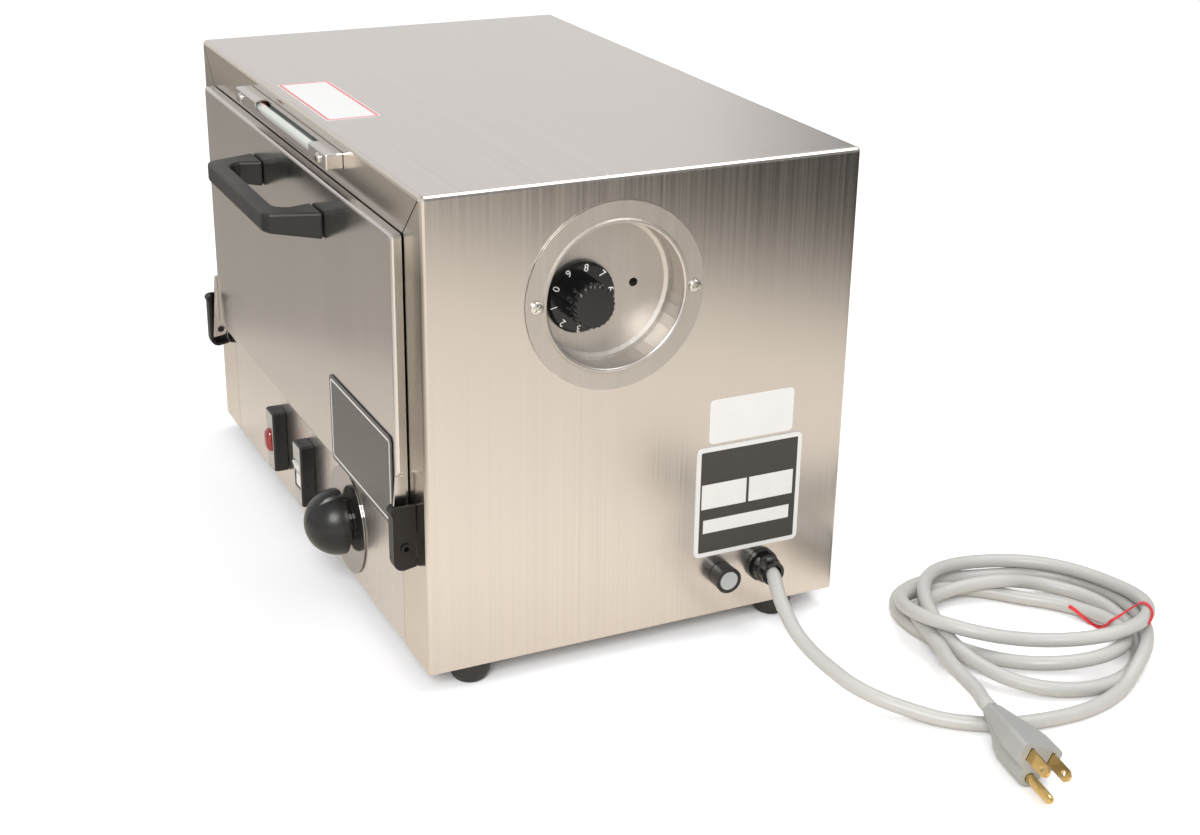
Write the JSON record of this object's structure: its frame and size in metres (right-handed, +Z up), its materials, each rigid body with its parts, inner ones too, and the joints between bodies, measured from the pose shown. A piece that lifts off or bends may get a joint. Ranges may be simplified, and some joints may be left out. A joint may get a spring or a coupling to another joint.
{
  "type": "dry heat sterilizer",
  "caption": "Small bench oven for dry heat sterilizing: steel casing, drop-down door with a bar handle, timer, thermostat in a side well, thermometer, slotted trays and a coiled mains cord.",
  "frame": {"origin": "bottom centre of the machine's box without its cord, on the surface that its feet stand on", "axes": "+X to the right as seen from the front, +Y to the back, +Z up; the door and the controls face -Y"},
  "size_m": [0.6057, 0.4455, 0.2661],
  "materials": {
    "brushed_steel": "brushed",
    "polished_steel": "polished",
    "plain_steel": "dull",
    "element_steel": "dark",
    "silver_faces": "satin",
    "black_plastic": "satin",
    "gloss_black": "gloss",
    "dark_plastic": "matt",
    "white_rocker": "gloss",
    "red_lens": "clear",
    "thermometer_glass": "clear",
    "black_plates": "satin",
    "rubber_feet": "matt",
    "silicone_gasket": "matt",
    "wool": "matt",
    "cord_jacket": "satin",
    "plug_moulding": "matt",
    "brass_pins": "polished"
  },
  "bodies": {
    "machine": {"base_pan": "brushed_steel", "breaker_body": "gloss_black", "casing_wrap": "brushed_steel", "chamber_liner": "plain_steel", "control_panel": "polished_steel", "cord_coil": "cord_jacket", "cord_gland": "gloss_black", "cord_lead": "cord_jacket", "cord_tail": "cord_jacket", "foot_front_left": "rubber_feet", "foot_front_right": "rubber_feet", "foot_rear_left": "rubber_feet", "foot_rear_right": "rubber_feet", "heating_element": "element_steel", "hinge_cover_left": "dark_plastic", "hinge_cover_right": "dark_plastic", "hinge_pin_left": "dark_plastic", "hinge_pin_right": "dark_plastic", "insulation": "wool", "lamp_face": "silver_faces", "lamp_housing": "black_plastic", "lamp_lens": "red_lens", "plug_blade_live": "brass_pins", "plug_blade_neutral": "brass_pins", "plug_body": "plug_moulding", "plug_pin_ground": "brass_pins", "rail_left": "plain_steel", "rail_right": "plain_steel", "rating_plate": "black_plates", "rear_panel": "brushed_steel", "switch_face": "silver_faces", "switch_housing": "black_plastic", "thermometer_housing": "brushed_steel", "thermometer_screw_left": "plain_steel", "thermometer_screw_right": "plain_steel", "thermometer_tube": "thermometer_glass", "thermostat_body": "plain_steel", "thermostat_probe": "plain_steel", "timer_body": "plain_steel", "timer_collar": "silver_faces", "timer_dial_plate": "silver_faces", "well_cup": "brushed_steel", "well_screw_front": "plain_steel", "well_screw_rear": "plain_steel"},
    "door": {"door_pan": "brushed_steel", "door_inner_panel": "plain_steel", "door_gasket": "silicone_gasket", "door_handle": "black_plastic", "door_plate": "black_plates", "hinge_arm_left": "polished_steel", "hinge_arm_right": "polished_steel"},
    "rocker": {"switch_rocker": "white_rocker"},
    "timer_dial": {"timer_knob": "black_plastic", "timer_shaft": "plain_steel"},
    "thermostat_dial": {"thermostat_knob": "gloss_black", "thermostat_shaft": "plain_steel"},
    "reset_button": {"breaker_button": "silver_faces"},
    "lower_tray": {"tray_lower": "plain_steel"},
    "upper_tray": {"tray_upper": "plain_steel"}
  },
  "joints": [
    {"name": "door_hinge", "type": "hinge", "parent": "machine", "child": "door", "pos_m": [-0.0069, -0.1094, 0.0796], "axis": [1, 0, 0], "range_deg": [0, 90]},
    {"name": "switch_rock", "type": "hinge", "parent": "machine", "child": "rocker", "pos_m": [-0.0056, -0.1096, 0.047], "axis": [1, 0, 0], "range_deg": [-16, 0]},
    {"name": "timer_turn", "type": "hinge", "parent": "machine", "child": "timer_dial", "pos_m": [0.061, -0.1078, 0.0451], "axis": [0, 1, 0], "range_deg": [0, 300]},
    {"name": "thermostat_turn", "type": "hinge", "parent": "machine", "child": "thermostat_dial", "pos_m": [0.1737, -0.0137, 0.2008], "axis": [-1, 0, 0], "range_deg": [-200, 120]},
    {"name": "reset_pop", "type": "slide", "parent": "machine", "child": "reset_button", "axis": [1, 0, 0], "range_m": [0, 0.004]},
    {"name": "lower_tray_slide", "type": "slide", "parent": "machine", "child": "lower_tray", "axis": [0, -1, 0], "range_m": [0, 0.018]},
    {"name": "upper_tray_slide", "type": "slide", "parent": "machine", "child": "upper_tray", "axis": [0, -1, 0], "range_m": [0, 0.018]}
  ]
}
